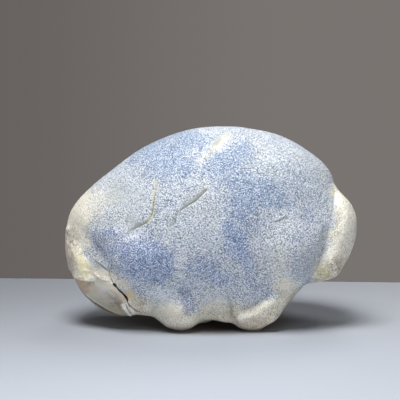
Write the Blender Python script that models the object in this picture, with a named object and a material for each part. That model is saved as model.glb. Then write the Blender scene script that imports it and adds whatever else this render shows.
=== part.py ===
"""A hand-sized nodule of blue chalcedony, worn smooth and satin polished.

The stone grew as lobes that run into each other and was worn as one piece, so it is one solid. A ball of
points is pushed outwards, straight away from a place in the middle of the stone, until each point reaches
the outermost of these: a pillow blown up from the outline seen from the front, and the lobes and rolls
that stand out of it. Scrapes and folds are then pressed in, and a cut along the table leaves the worn
spots that the stone stands on.

Run it with: blender --background --python part.py
+Z is up and the front faces -Y. The origin is on the table, below the middle of the stone's box.
Places and sizes are in millimetres, and MM turns them into Blender's metres at the end.
"""

import math

import bmesh
import bpy
from mathutils import Euler, Vector, noise

MM = 0.001

# The size of the stone: everything below is drawn at these sizes.
LENGTH = 140.0  # nose to tail, along X
FRONT_DEPTH = 38.0  # from the outline's plane to the front, at the thickest place
BACK_DEPTH = 38.0
BELLY_HEIGHT = 4.0  # between the belly and the table, where no foot is

# Everything is pushed out from here.
MIDDLE = Vector((0.0, 0.0, 48.0))

# The pillow's outline seen from the front, as (x, z), from the tip of the nose over the back to the tail
# and back along the belly.
OUTLINE = (
    (-70.0, 42.0),
    (-69.3, 48.0),
    (-67.4, 54.3),
    (-62.6, 60.8),
    (-53.2, 69.2),
    (-43.6, 76.2),
    (-34.1, 83.1),
    (-24.5, 88.1),
    (-14.9, 91.5),
    (-3.0, 94.0),
    (9.1, 94.6),
    (20.0, 93.5),
    (31.0, 90.4),
    (42.6, 85.3),
    (52.2, 77.8),
    (57.4, 70.8),
    (59.0, 64.0),
    (58.4, 54.0),
    (55.8, 42.0),
    (52.5, 32.0),
    (48.0, 23.5),
    (41.8, 14.8),
    (33.0, BELLY_HEIGHT + 2.4),
    (18.0, BELLY_HEIGHT),
    (0.0, BELLY_HEIGHT),
    (-18.0, BELLY_HEIGHT),
    (-31.0, BELLY_HEIGHT + 0.6),
    (-40.0, BELLY_HEIGHT - 0.4),
    (-48.4, BELLY_HEIGHT + 0.2),
    (-56.0, 10.2),
    (-62.6, 16.0),
    (-67.0, 24.0),
    (-69.6, 33.0),
)

# How square the pillow's section is: 2 is an ellipse, and more is boxier.
SQUARENESS_ABOVE = 2.1
SQUARENESS_BELOW = 2.5

# The share of the full depth at the nose and at the tail, where the pillow is thinner.
NOSE_DEPTH_SHARE = 0.80
TAIL_DEPTH_SHARE = 0.88

# The lobes: (centre, half sizes, turns about X, Y and Z in degrees, how softly it runs into the rest).
LOBES = {
    "tail": ((50.0, 2.0, 42.5), (16.0, 21.0, 20.0), (0, 0, 0), 4.0),
    "rear_tail": ((48.5, 13.0, 38.0), (12.5, 17.0, 18.0), (0, 0, 0), 5.0),
    "left_foot": ((-15.5, -18.5, 11.5), (12.5, 14.0, 12.0), (0, 0, 20), 7.0),
    "left_foot_heel": ((-4.5, -9.0, 8.5), (8.0, 8.0, 7.6), (0, 0, 0), 6.0),
    "right_foot": ((22.0, -13.0, 12.5), (12.0, 13.0, 11.5), (0, 0, 0), 5.0),
    "rear_keel": ((4.0, 17.5, 14.0), (23.0, 15.0, 14.4), (0, 0, 6), 12.0),
    "haunch": ((33.0, -15.5, 41.0), (18.5, 20.0, 21.5), (0, 0, 0), 7.0),
    "cheek": ((-33.0, -14.0, 37.0), (19.0, 20.5, 16.0), (0, 0, 0), 9.0),
    "chin": ((-44.0, -8.0, 19.5), (16.0, 18.5, 13.5), (0, 25, 0), 7.0),
    "rear_haunch": ((33.0, 16.0, 42.0), (20.0, 23.0, 24.0), (0, 0, 0), 8.0),
    "rear_shoulder": ((-24.0, 12.0, 52.0), (26.0, 27.0, 25.0), (0, -15, 0), 9.0),
    "rear_chin": ((-45.0, 10.0, 26.0), (15.0, 17.5, 15.0), (0, 0, 0), 7.0),
}

# The rolls, thick as a finger: (places along its middle, radius, how softly it runs into the rest).
ROLLS = {
    "tail_roll": (
        (
            (53.7, -8.0, 58.2),
            (58.0, -10.5, 54.3),
            (60.2, -12.5, 50.0),
            (59.6, -13.5, 45.0),
            (57.2, -14.0, 38.5),
            (53.6, -14.0, 33.2),
            (49.5, -13.0, 30.6),
        ),
        9.2,
        4.5,
    ),
    "right_foot_lip": (
        (
            (17.0, -20.0, 5.9),
            (21.0, -20.5, 6.2),
            (24.3, -21.0, 8.3),
            (27.7, -21.5, 11.6),
            (30.4, -21.0, 16.0),
        ),
        6.5,
        3.5,
    ),
}
PLACES_PER_SPAN = 6  # along a roll, between two of its places

# How quickly a lobe gives way outside its own outline, seen from the middle.
LOBE_FALL = 6.0

# Flat faces where pieces broke away before the stone was worn: (a point, the way out, how flat).
SCRAPES = {
    "jaw": ((-56, -18, 16), (-0.50, -0.56, -0.66), 0.7),
    "snout": ((-65, -12, 38), (-0.80, -0.60, 0.05), 0.5),
    "rear_jaw": ((-54, 24, 26), (-0.50, 0.80, -0.33), 0.6),
}

# Folds between lobes: (points along it as (x, z), half width, depth, which face it runs on).
FRONT, BACK = -1, 1
GROOVES = {
    "jaw_fold": (
        (
            (-66.0, 48.5),
            (-58.5, 42.5),
            (-52.0, 35.0),
            (-47.5, 30.5),
            (-44.0, 25.0),
            (-39.5, 18.5),
            (-34.0, 12.0),
        ),
        4.5,
        1.6,
        FRONT,
    ),
}

# The small unevenness that wear leaves all over.
WAVE_LENGTH = 17.0
WAVE_HEIGHT = 0.5

CUTS_PER_SIDE = 27  # of the cube that the ball is made from
SHORTEST_EDGE = 0.35  # around the worn spots
BALL_STRETCH = Vector((1.3, 0.85, 1.0))  # spreads the points evenly over the long stone
FINE_CURVE_STEPS = 16  # between two points of the outline
DEPTH_ROUNDS = 4  # the pillow's depth depends on x, which depends on the depth

BLUE_GREY = (0.42, 0.50, 0.63, 1.0)


def clear_scene():
    for obj in list(bpy.data.objects):
        bpy.data.objects.remove(obj)


def fade(share):
    """1 at 0 and 0 from 1 on, level at both ends."""
    if share >= 1.0:
        return 0.0
    return (1.0 - share * share) ** 2


def soft_max(a, b, softness):
    """The larger of two lengths, with the corner between them rounded."""
    overlap = max(0.0, softness - abs(a - b)) / softness
    return max(a, b) + overlap * overlap * softness / 4


def smooth_loop(points, steps):
    """Points on a closed Catmull-Rom curve through the given ones."""
    found = []
    count = len(points)
    for i in range(count):
        before, start, end, after = (Vector(points[(i + k) % count]) for k in (-1, 0, 1, 2))
        for step in range(steps):
            t = step / steps
            found.append(
                0.5
                * (
                    2 * start
                    + (end - before) * t
                    + (2 * before - 5 * start + 4 * end - after) * t**2
                    + (3 * start - before - 3 * end + after) * t**3
                )
            )
    return found


def outline_reach():
    """A function from an angle about MIDDLE to how far the outline is there."""
    centre = Vector((MIDDLE.x, MIDDLE.z))
    rim = sorted(
        (math.atan2(offset.y, offset.x), offset.length)
        for offset in (point - centre for point in smooth_loop(OUTLINE, FINE_CURVE_STEPS))
    )

    def reach(angle):
        low, high = 0, len(rim)
        while low < high:
            half = (low + high) // 2
            if rim[half][0] < angle:
                low = half + 1
            else:
                high = half
        before, after = rim[low - 1], rim[low % len(rim)]
        span = (after[0] - before[0]) % math.tau
        share = ((angle - before[0]) % math.tau) / span if span else 0.0
        return before[1] + (after[1] - before[1]) * share

    return reach


def depth_share(x):
    """How much of the full depth the pillow has at x: all of it in the middle, less at the ends."""
    at_end = NOSE_DEPTH_SHARE if x < 0 else TAIL_DEPTH_SHARE
    along = min(1.0, abs(x) / (LENGTH / 2))
    return 1.0 - (1.0 - at_end) * along**2


def pillow_reach(direction, reach):
    """How far the pillow's surface is from the middle."""
    flat = math.hypot(direction.x, direction.z)
    angle = math.atan2(direction.z, direction.x)
    below = max(0.0, -math.sin(angle)) * flat
    power = SQUARENESS_ABOVE + (SQUARENESS_BELOW - SQUARENESS_ABOVE) * below
    rim = reach(angle)
    full_depth = FRONT_DEPTH if direction.y < 0 else BACK_DEPTH
    found = 0.0
    for _ in range(DEPTH_ROUNDS):
        depth = full_depth * depth_share(found * direction.x)
        found = ((flat / rim) ** power + (abs(direction.y) / depth) ** power) ** (-1.0 / power)
    return found


def lobe_reach(direction, centre, half_sizes, turns):
    """How far the far side of a lobe is from the middle."""
    to_lobe = Euler([math.radians(turn) for turn in turns]).to_matrix().inverted()
    size = Vector(half_sizes)
    start = to_lobe @ (MIDDLE - Vector(centre))
    start = Vector((start.x / size.x, start.y / size.y, start.z / size.z))
    way = to_lobe @ direction
    way = Vector((way.x / size.x, way.y / size.y, way.z / size.z))
    nearest = -start.dot(way) / way.length_squared
    gap = (start + way * nearest).length
    if gap < 1.0:
        return nearest + math.sqrt(1.0 - gap * gap) / way.length
    return nearest - LOBE_FALL * min(size) * (gap - 1.0)


def places_along(path, per_span):
    """Places spread along a path, both ends included."""
    found = [Vector(path[-1])]
    for start, end in zip(path, path[1:]):
        found += [Vector(start).lerp(Vector(end), step / per_span) for step in range(per_span)]
    return found


def roll_reach(direction, places, radius):
    """How far the far side of a roll is from the middle: a roll is a row of balls."""
    far = -math.inf
    for place in places:
        offset = place - MIDDLE
        nearest = offset.dot(direction)
        gap = (offset - direction * nearest).length / radius
        if gap < 1.0:
            far = max(far, nearest + radius * math.sqrt(1.0 - gap * gap))
        else:
            far = max(far, nearest - LOBE_FALL * radius * (gap - 1.0))
    return far


def blow_up(ball, reach):
    """Pushes the points of a ball out to the pillow, the lobes and the rolls."""
    rolls = [
        (places_along(path, PLACES_PER_SPAN), radius, softness)
        for path, radius, softness in ROLLS.values()
    ]
    for vertex in ball.verts:
        direction = (vertex.co.normalized() * BALL_STRETCH).normalized()
        far = pillow_reach(direction, reach)
        for centre, half_sizes, turns, softness in LOBES.values():
            far = soft_max(far, lobe_reach(direction, centre, half_sizes, turns), softness)
        for places, radius, softness in rolls:
            far = soft_max(far, roll_reach(direction, places, radius), softness)
        vertex.co = MIDDLE + direction * far


def scrape(stone, point, outward, flatness):
    """Takes down what stands past a plane."""
    normal = Vector(outward).normalized()
    for vertex in stone.verts:
        past = (vertex.co - Vector(point)).dot(normal)
        if past > 0:
            vertex.co -= normal * past * flatness


def distance_to_path(place, path):
    """How far a place (x, z) is from a path, and how far along the path its nearest point is, from 0 to 1."""
    best, where = math.inf, 0.0
    for i, (start, end) in enumerate(zip(path, path[1:])):
        start, end = Vector(start), Vector(end)
        run = end - start
        share = min(1.0, max(0.0, (place - start).dot(run) / run.length_squared))
        gap = (place - start - run * share).length
        if gap < best:
            best, where = gap, (i + share) / (len(path) - 1)
    return best, where


def press_groove(stone, path, half_width, depth, face):
    """Sinks the surface along a path, less towards the path's ends."""
    stone.normal_update()
    moves = []
    for vertex in stone.verts:
        if vertex.co.y * face < 0:
            continue
        gap, where = distance_to_path(Vector((vertex.co.x, vertex.co.z)), path)
        strength = fade(gap / half_width)
        if strength:
            taper = min(1.0, 5.0 * where + 0.25, 5.0 * (1.0 - where) + 0.25)
            moves.append((vertex, vertex.normal * (-depth * strength * taper)))
    for vertex, move in moves:
        vertex.co += move


def wear(stone):
    """Gives the surface the low waves of a tumbled stone."""
    stone.normal_update()
    moves = [
        (vertex, vertex.normal * WAVE_HEIGHT * noise.noise(vertex.co / WAVE_LENGTH))
        for vertex in stone.verts
    ]
    for vertex, move in moves:
        vertex.co += move


def stand_on_table(stone):
    """Cuts the feet flat at the table, and closes each cut with one face.

    A point that is nearly on the table goes below it first, so that the cut leaves no slivers.
    """
    for vertex in stone.verts:
        if abs(vertex.co.z) < SHORTEST_EDGE:
            vertex.co.z = -SHORTEST_EDGE
    cut = bmesh.ops.bisect_plane(
        stone,
        geom=stone.verts[:] + stone.edges[:] + stone.faces[:],
        plane_co=(0, 0, 0),
        plane_no=(0, 0, 1),
        clear_inner=True,
    )
    rim_points = [item for item in cut["geom_cut"] if isinstance(item, bmesh.types.BMVert)]
    bmesh.ops.remove_doubles(stone, verts=rim_points, dist=SHORTEST_EDGE)
    open_edges = [edge for edge in stone.edges if edge.is_boundary]
    bmesh.ops.holes_fill(stone, edges=open_edges, sides=0)


def centre_on_origin(stone):
    xs = [vertex.co.x for vertex in stone.verts]
    ys = [vertex.co.y for vertex in stone.verts]
    middle = Vector(((min(xs) + max(xs)) / 2, (min(ys) + max(ys)) / 2, 0))
    bmesh.ops.translate(stone, verts=stone.verts, vec=-middle)
    print(f"moved by {-middle.x:.3f}, {-middle.y:.3f} mm to centre the box")


def chalcedony():
    material = bpy.data.materials.new("chalcedony")
    material.use_nodes = True
    surface = material.node_tree.nodes["Principled BSDF"]
    surface.inputs["Base Color"].default_value = BLUE_GREY
    surface.inputs["Roughness"].default_value = 0.42
    surface.inputs["Metallic"].default_value = 0.0
    return material


def make_stone():
    stone = bmesh.new()
    bmesh.ops.create_cube(stone, size=2.0)
    bmesh.ops.subdivide_edges(stone, edges=stone.edges[:], cuts=CUTS_PER_SIDE, use_grid_fill=True)
    blow_up(stone, outline_reach())
    for point, outward, flatness in SCRAPES.values():
        scrape(stone, point, outward, flatness)
    for path, half_width, depth, face in GROOVES.values():
        press_groove(stone, path, half_width, depth, face)
    wear(stone)
    stand_on_table(stone)
    centre_on_origin(stone)
    bmesh.ops.scale(stone, verts=stone.verts, vec=(MM, MM, MM))
    bmesh.ops.triangulate(stone, faces=stone.faces[:])
    bmesh.ops.recalc_face_normals(stone, faces=stone.faces[:])

    mesh = bpy.data.meshes.new("chalcedony_stone")
    stone.to_mesh(mesh)
    stone.free()
    mesh.shade_smooth()
    mesh.materials.append(chalcedony())
    obj = bpy.data.objects.new("chalcedony_stone", mesh)
    bpy.context.scene.collection.objects.link(obj)
    return obj


def main():
    clear_scene()
    made = make_stone()
    print(made.name, len(made.data.polygons), "faces", [round(side / MM, 1) for side in made.dimensions])


main()
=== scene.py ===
# %% [markdown]
# # A nodule of blue chalcedony
#
# Chalcedony is quartz grown in threads too fine to see. This stone grew as a lump with lobes, was rolled
# about until it was smooth, and was then given a satin polish. Its solid was shaped first. Here it gets
# its skin: the folds, flakes and cracks, the colours, and the studio that it stands in. Its marks are named
# as if it were an animal that faces left, with a nose, a cheek, two feet and a tail.

# %% Load the solid stone
import math

import bmesh
import bpy
import numpy as np
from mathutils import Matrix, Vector, kdtree, noise
from mathutils.bvhtree import BVHTree


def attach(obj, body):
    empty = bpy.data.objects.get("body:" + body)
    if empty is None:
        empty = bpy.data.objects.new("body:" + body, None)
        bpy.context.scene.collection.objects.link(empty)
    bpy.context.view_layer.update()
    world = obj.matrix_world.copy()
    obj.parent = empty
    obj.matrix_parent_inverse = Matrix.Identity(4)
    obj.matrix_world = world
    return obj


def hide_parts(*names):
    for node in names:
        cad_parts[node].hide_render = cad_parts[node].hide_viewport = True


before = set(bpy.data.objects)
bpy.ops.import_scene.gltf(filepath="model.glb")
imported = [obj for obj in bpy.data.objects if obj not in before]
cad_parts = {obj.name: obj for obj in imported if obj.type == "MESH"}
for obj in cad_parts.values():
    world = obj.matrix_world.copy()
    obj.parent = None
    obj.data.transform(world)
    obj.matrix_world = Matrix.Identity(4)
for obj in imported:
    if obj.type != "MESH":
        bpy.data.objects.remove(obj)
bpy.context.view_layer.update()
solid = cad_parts["chalcedony_stone"]

# %% [markdown]
# ## The camera comes first
#
# A long lens, low and some way off, shows the stone almost without perspective. The camera is made before
# the stone's skin because it is also the ruler: the front's marks are placed by where the camera sees
# them, and a line from the camera through that place finds the spot on the stone.

# %% Set up the camera
MM = 0.001
PICTURE = 400  # points across the square picture
SENSOR_WIDTH = 36
HALF_VIEW = math.radians(7.5)
CAMERA_RISE = math.radians(7.5)
CAMERA_DISTANCE = 728 * MM
CAMERA_TARGET = Vector((-4.8, -0.8, 59.1)) * MM
POINTS_PER_TANGENT = PICTURE / 2 / math.tan(HALF_VIEW)

ahead = Vector((0, math.cos(CAMERA_RISE), -math.sin(CAMERA_RISE)))
rightward = Vector((1, 0, 0))
upward = rightward.cross(ahead)

lens = bpy.data.cameras.new("camera")
lens.sensor_width = SENSOR_WIDTH
lens.lens = SENSOR_WIDTH / 2 / math.tan(HALF_VIEW)
camera = bpy.data.objects.new("camera", lens)
camera.location = CAMERA_TARGET - ahead * CAMERA_DISTANCE
camera.rotation_euler = ahead.to_track_quat("-Z", "Y").to_euler()
bpy.context.scene.collection.objects.link(camera)
bpy.context.scene.camera = camera
print("camera at", [round(x, 3) for x in camera.location], "lens", round(lens.lens, 1), "mm")

# %% [markdown]
# ## An even skin
#
# The solid is made of flat triangles about three millimetres across, which would show. Its facets are
# rounded off by subdividing, a remesh gives every part of the skin the same small faces, and a little
# smoothing takes out the steps that the remesh leaves. Sculpting by hand starts in the same way.

# %% Make the even skin
SKIN_FACE = 1.0 * MM  # the size of the skin's faces
WELD_GAP = 1e-6
RELAXING_ROUNDS = 8


def evaluated_copy(source, name):
    """A new object with the source's modifiers worked into its mesh."""
    mesh = bpy.data.meshes.new_from_object(source.evaluated_get(bpy.context.evaluated_depsgraph_get()))
    mesh.name = name
    copy = bpy.data.objects.new(name, mesh)
    bpy.context.scene.collection.objects.link(copy)
    return copy


rough_out = bpy.data.objects.new("rough_out", solid.data.copy())
bpy.context.scene.collection.objects.link(rough_out)
joined = bmesh.new()
joined.from_mesh(rough_out.data)
bmesh.ops.remove_doubles(joined, verts=joined.verts, dist=WELD_GAP)
joined.to_mesh(rough_out.data)
joined.free()

rounding = rough_out.modifiers.new("round off the facets", "SUBSURF")
rounding.levels = rounding.render_levels = 1
evening = rough_out.modifiers.new("even faces", "REMESH")
evening.mode = "VOXEL"
evening.voxel_size = SKIN_FACE
relaxing = rough_out.modifiers.new("relax", "SMOOTH")
relaxing.factor = 0.5
relaxing.iterations = RELAXING_ROUNDS

stone = evaluated_copy(rough_out, "polished_stone")
bpy.data.objects.remove(rough_out)
stone.data.materials.clear()
print("the skin has", len(stone.data.polygons), "faces")

# %% [markdown]
# ## Finding places on the stone
#
# A mark on the front is given as a place in the picture, 400 points across with (0, 0) at the top left, and
# is dropped onto the stone along the camera's line of sight. The camera can't see the back, so a mark there
# is given in millimetres across and up, and is dropped on from straight behind.

# %% Helpers that find places
FAR_BEHIND = 500  # millimetres, well clear of the stone
FRONT_MIDDLE = (200, 220)


def surface_of(obj):
    """A tree that answers where a line meets the object."""
    shape = bmesh.new()
    shape.from_mesh(obj.data)
    tree = BVHTree.FromBMesh(shape)
    shape.free()
    return tree


def line_of_sight(across, down):
    """The way from the camera through a place in the picture."""
    return (
        ahead
        + rightward * ((across - PICTURE / 2) / POINTS_PER_TANGENT)
        + upward * ((PICTURE / 2 - down) / POINTS_PER_TANGENT)
    ).normalized()


def seen_at(surface, across, down):
    """The place on the stone that the camera sees there, and the way the skin faces, in metres."""
    place, facing, _, _ = surface.ray_cast(camera.location, line_of_sight(across, down))
    if place is None:
        raise ValueError(f"the camera sees no stone at {across}, {down}")
    return place, facing


def behind_at(surface, across, up):
    """The place on the stone's back at these millimetres to the right and up, and the way it faces."""
    start = Vector((across, FAR_BEHIND, up)) * MM
    place, facing, _, _ = surface.ray_cast(start, Vector((0, -1, 0)))
    if place is None:
        raise ValueError(f"there is no stone behind {across}, {up}")
    return place, facing


surface = surface_of(stone)
print("middle of the front is at", [round(x / MM, 1) for x in seen_at(surface, *FRONT_MIDDLE)[0]])

# %% [markdown]
# ## Cracks, flakes and folds
#
# The nodule grew in layers, and in places a layer ends in a low step, like the edge of a flake. Other
# lines are cracks that opened later, and the soft lines are folds and ridges of the lobes themselves. All
# are drawn first, because the skin needs finer faces beside them before they can be pressed in.

# %% List the lines on the front
FRONT_LINES = {
    "upper_crack": [(157, 181), (154.8, 192), (153.4, 202), (152.4, 210), (150.6, 217), (148.4, 222)],
    "flake_edge": [(148.4, 222), (143, 225.3), (136.5, 228.2), (130.7, 231.2), (125.5, 234)],
    "middle_flake": [(207, 190), (199.6, 198), (193, 203), (184.6, 208.3), (176.5, 214.8)],
    "middle_flake_end": [(176.4, 218.5), (174, 224.5), (168, 229.5)],
    "top_vein": [(229, 134), (221, 140.5), (216, 147), (209.5, 154)],
    "haunch_flake": [(273, 222.5), (278, 220.8), (283, 218.8), (288, 215.8)],
    "nose_fold": [(94, 260), (101, 265.5), (108.8, 271.6)],
    "branch": [(112.4, 262.5), (110.6, 267.5), (109, 271.6), (110.4, 278), (113.4, 283.4)],
    "mouth": [(113.4, 283.4), (117, 288), (121, 292.2), (124.6, 296), (127.2, 300), (127.4, 302)],
    "mouth_hairline": [(127.4, 302), (129, 305), (133, 307.8), (137.5, 309.5)],
    "outer_chip": [(123.8, 305.4), (126, 308.6), (128.6, 312), (131, 314.4)],
    "chip_gap": [(125.6, 304.6), (128, 308.6), (131.4, 312.4)],
    "inner_chip": [(127.2, 304.6), (129.6, 308), (133, 310.8)],
    "crust_edge": [(73.5, 271.5), (77, 275.5), (81, 278.5), (86, 281), (91.4, 281.8)],
    "facet_edge": [(92.6, 279.6), (98, 277.6), (102, 280.6), (108, 281.6), (113, 283.2)],
    "jaw_edge": [(81, 287.4), (85, 292.5), (89.6, 297.6), (96, 303.1), (104.3, 308.7), (112.5, 312.8)],
    "tail_crease": [(336, 189), (333.4, 198), (332, 210), (330, 225), (326, 240), (321.5, 255), (316, 270)],
}
SOFT_LINES = {
    "beside_the_tail": [(327, 186), (323.5, 200), (321.5, 215), (319, 230), (315.5, 244), (311, 257)],
    "tail_crest": [(340, 195), (343.6, 205), (344, 218), (342, 232), (337.6, 247), (331, 260), (324, 270)],
    "foot_crest": [
        (236, 316.5), (242, 317.2), (250, 316), (259, 311.5), (268, 304.5), (275, 297.5), (282, 290.5),
    ],
    "above_the_foot": [(235, 307), (243, 307), (253, 303.5), (263, 297), (272, 288)],
    "nose_hollow": [(70, 233), (77, 243), (85, 253), (94, 262)],
    "crust": [(73, 245), (77, 257), (83, 268), (88, 276)],
    "nub": [(68.4, 227), (68.2, 231), (68.6, 236)],
    "belly_crease": [(228, 297), (230, 302), (231.6, 308), (232.4, 313), (233, 317.5)],
    "white_lumps": [(94, 273.4), (97, 276.4), (100, 278.4)],
}
print(len(FRONT_LINES), "sharp lines and", len(SOFT_LINES), "soft ones on the front")

# %% [markdown]
# The back has a healed vein, a flake, a low step and a branching crack of its own, in keeping with the
# front.

# %% List the lines on the back
BACK_LINES = {
    "back_vein": [(-36, 74), (-27, 66), (-20, 56), (-9, 50), (3, 47), (13, 39), (19, 30)],
    "back_flake": [(34, 66), (40, 58), (42, 48), (38, 39), (31, 33)],
    "back_crack": [(-50, 46), (-46, 39), (-45, 32), (-40, 25)],
    "back_branch": [(-46, 39), (-40, 37), (-35, 32)],
    "back_step": [(-4, 72), (6, 68), (15, 69), (22, 64)],
}
print(len(BACK_LINES), "lines on the back")

# %% [markdown]
# A smooth curve is run through the places of each line. Every bit of it also keeps the way the skin faces
# there and the way to its right-hand side, because a flake's edge is high on one side and low on the other.

# %% Draw the lines
LINE_STEP = 6  # bits between two drawn places
FACING_ROUNDS = 3  # how often the facings along a line are evened out


def smooth_line(points, per_span):
    """Points on an open Catmull-Rom curve through the given ones."""
    ends = [2 * points[0] - points[1]] + list(points) + [2 * points[-1] - points[-2]]
    found = []
    for before, start, end, after in zip(ends, ends[1:], ends[2:], ends[3:]):
        for t in np.arange(per_span) / per_span:
            found.append(
                0.5
                * (
                    2 * start
                    + (end - before) * t
                    + (2 * before - 5 * start + 4 * end - after) * t**2
                    + (3 * start - before - 3 * end + after) * t**3
                )
            )
    return found + [points[-1]]


class Line:
    """A line on the skin: its places and facings in millimetres, and the way to its right-hand side."""

    def __init__(self, spots):
        self.places = np.array([list(place) for place, _ in spots]) / MM
        facings = np.array([list(facing) for _, facing in spots])
        for _ in range(FACING_ROUNDS):
            padded = np.vstack([facings[:1], facings, facings[-1:]])
            facings = padded[:-2] + padded[1:-1] + padded[2:]
            facings /= np.linalg.norm(facings, axis=1, keepdims=True)
        self.facings = facings
        along = np.gradient(self.places, axis=0)
        along /= np.linalg.norm(along, axis=1, keepdims=True)
        self.rights = np.cross(along, self.facings)
        steps = np.linalg.norm(np.diff(self.places, axis=0), axis=1)
        self.length = steps.sum()
        self.share = np.concatenate([[0], np.cumsum(steps)]) / self.length


def drawn(points, spot_at):
    """The line through the points, dropped onto the skin by seen_at or behind_at."""
    bends = smooth_line([np.array(point, float) for point in points], LINE_STEP)
    return Line([spot_at(surface, *bend) for bend in bends])


lines = {name: drawn(points, seen_at) for name, points in {**FRONT_LINES, **SOFT_LINES}.items()}
lines.update({name: drawn(points, behind_at) for name, points in BACK_LINES.items()})
for name, line in lines.items():
    print(f"{name}: {line.length:.1f} mm")

# %% [markdown]
# ## Finer faces beside the lines
#
# A crack is less than a millimetre wide, so it can't be pressed into faces of a millimetre. Only the faces
# beside a line are split, in rounds, and the rest of the stone stays light. The crumbly rind gets finer
# faces too, over a wider reach, and the open crack at the mouth gets the finest.

# %% Split the faces beside the lines
RIND_LINES = ("nub", "crust", "crust_edge", "tail_crest", "foot_crest")
RIND_REACH = 5.5  # how far from a line the faces are split, in millimetres
FINE_REACH = 1.7
MOUTH_REACH = 1.1
RIND_EDGE = 0.6  # the longest edge that stays, in millimetres
FINE_EDGE = 0.30
MOUTH_EDGE = 0.17
SPLITTING_ROUNDS = 3


def near_places(places, spots, reach):
    """For each place, whether a spot is within reach."""
    tree = kdtree.KDTree(len(spots))
    for i, spot in enumerate(spots):
        tree.insert(spot, i)
    tree.balance()
    return [tree.find(place)[2] < reach for place in places]


def split_near(obj, names, reach, longest):
    """Splits the edges that are longer than longest and within reach of a line, in millimetres."""
    spots = np.vstack([lines[name].places for name in names])
    shape = bmesh.new()
    shape.from_mesh(obj.data)
    bmesh.ops.triangulate(shape, faces=shape.faces[:])
    for _ in range(SPLITTING_ROUNDS):
        near = near_places([vertex.co / MM for vertex in shape.verts], spots, reach)
        shape.verts.index_update()
        long_edges = [
            edge
            for edge in shape.edges
            if edge.calc_length() > longest * MM and all(near[vertex.index] for vertex in edge.verts)
        ]
        if not long_edges:
            break
        bmesh.ops.subdivide_edges(shape, edges=long_edges, cuts=1)
        bmesh.ops.triangulate(shape, faces=[face for face in shape.faces if len(face.verts) > 3])
    shape.to_mesh(obj.data)
    shape.free()


split_near(stone, RIND_LINES, RIND_REACH, RIND_EDGE)
split_near(stone, (*FRONT_LINES, *BACK_LINES), FINE_REACH, FINE_EDGE)
split_near(stone, ("mouth", "mouth_hairline"), MOUTH_REACH, MOUTH_EDGE)
print("the skin has", len(stone.data.polygons), "faces")

# %% [markdown]
# ## Pressing the skin
#
# A sculptor would press the lines in with a brush. Here the skin is a list of places in millimetres, and a
# tool moves those within its reach, so a line can still be moved afterwards. A tool first has to know which
# places lie beside a line, how far to its right, and how far along it.

# %% Measure the skin beside a line
skin = np.empty(len(stone.data.vertices) * 3)
stone.data.vertices.foreach_get("co", skin)
skin = skin.reshape(-1, 3) / MM


def limited(value):
    """The value, held between 0 and 1."""
    return np.clip(value, 0, 1)


def beside(line, reach):
    """The numbers of the skin's places within reach of a line, how far to its right each is, how far
    along it from 0 to 1, and which bit of the line is nearest."""
    low = line.places.min(0) - reach
    high = line.places.max(0) + reach
    near = np.flatnonzero(((skin > low) & (skin < high)).all(1))
    gaps = np.linalg.norm(skin[near][:, None] - line.places[None], axis=2)
    bit = gaps.argmin(1)
    close = gaps.min(1) < reach
    near, bit = near[close], bit[close]
    right = ((skin[near] - line.places[bit]) * line.rights[bit]).sum(1)
    return near, right, line.share[bit], bit


def ends_faded(share, start, end):
    """1 along the line, falling to 0 over the given shares at its start and its end."""
    rising = limited(share / start) if start else 1.0
    falling = limited((1 - share) / end) if end else 1.0
    return np.minimum(rising, falling)


def tapered(share, taper):
    """How wide a line is at each share of its length, from a table of shares and widths."""
    return np.interp(share, [at for at, _ in taper], [wide for _, wide in taper]) if taper else 1.0


print("the skin has", len(skin), "places")

# %% [markdown]
# A crack sinks in a narrow trough, and with a depth below zero the same tool raises a ridge. A flake's edge
# is a step: on the left of the line, as one walks along it, the skin stands proud, and on the right it
# dips under. A dimple is round, and with a depth below zero it is a bump.

# %% Tools that press the skin
FLAKE_EDGE_WIDTH = 0.3  # millimetres from a flake's high side to its low side


def press_crack(name, width, depth, start=0.15, end=0.15, taper=()):
    line = lines[name]
    near, right, share, bit = beside(line, 3 * width + 1)
    wide = width * tapered(share, taper)
    sink = depth * np.exp(-((right / wide) ** 2)) * ends_faded(share, start, end)
    skin[near] -= line.facings[bit] * sink[:, None]


def press_flake(name, rise, dip, rise_reach=2.5, dip_reach=2.0, start=0.2, end=0.2):
    line = lines[name]
    reach = max(rise_reach, dip_reach)
    near, right, share, bit = beside(line, 3 * reach)
    left_part = rise * np.exp(-np.clip(-right, 0, None) / rise_reach)
    right_part = -dip * np.exp(-np.clip(right, 0, None) / dip_reach)
    on_right = limited(right / FLAKE_EDGE_WIDTH + 0.5)
    gap = np.linalg.norm(skin[near] - line.places[bit], axis=1)
    cut_off = limited(3 - gap / reach)
    height = (left_part + (right_part - left_part) * on_right) * ends_faded(share, start, end) * cut_off
    skin[near] += line.facings[bit] * height[:, None]


def press_dimple(middle, facing, radius, depth):
    gap = np.linalg.norm(skin - np.array(middle) / MM, axis=1)
    skin[:] -= np.array(facing) * (depth * np.exp(-((gap / radius) ** 2)))[:, None]


# %% [markdown]
# The broad forms go first: the rolled ridge at the tail end and the crease beside it, the right foot's
# ridge and the crease where the foot leaves the belly, and the hollow and the crust at the nose.

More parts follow.
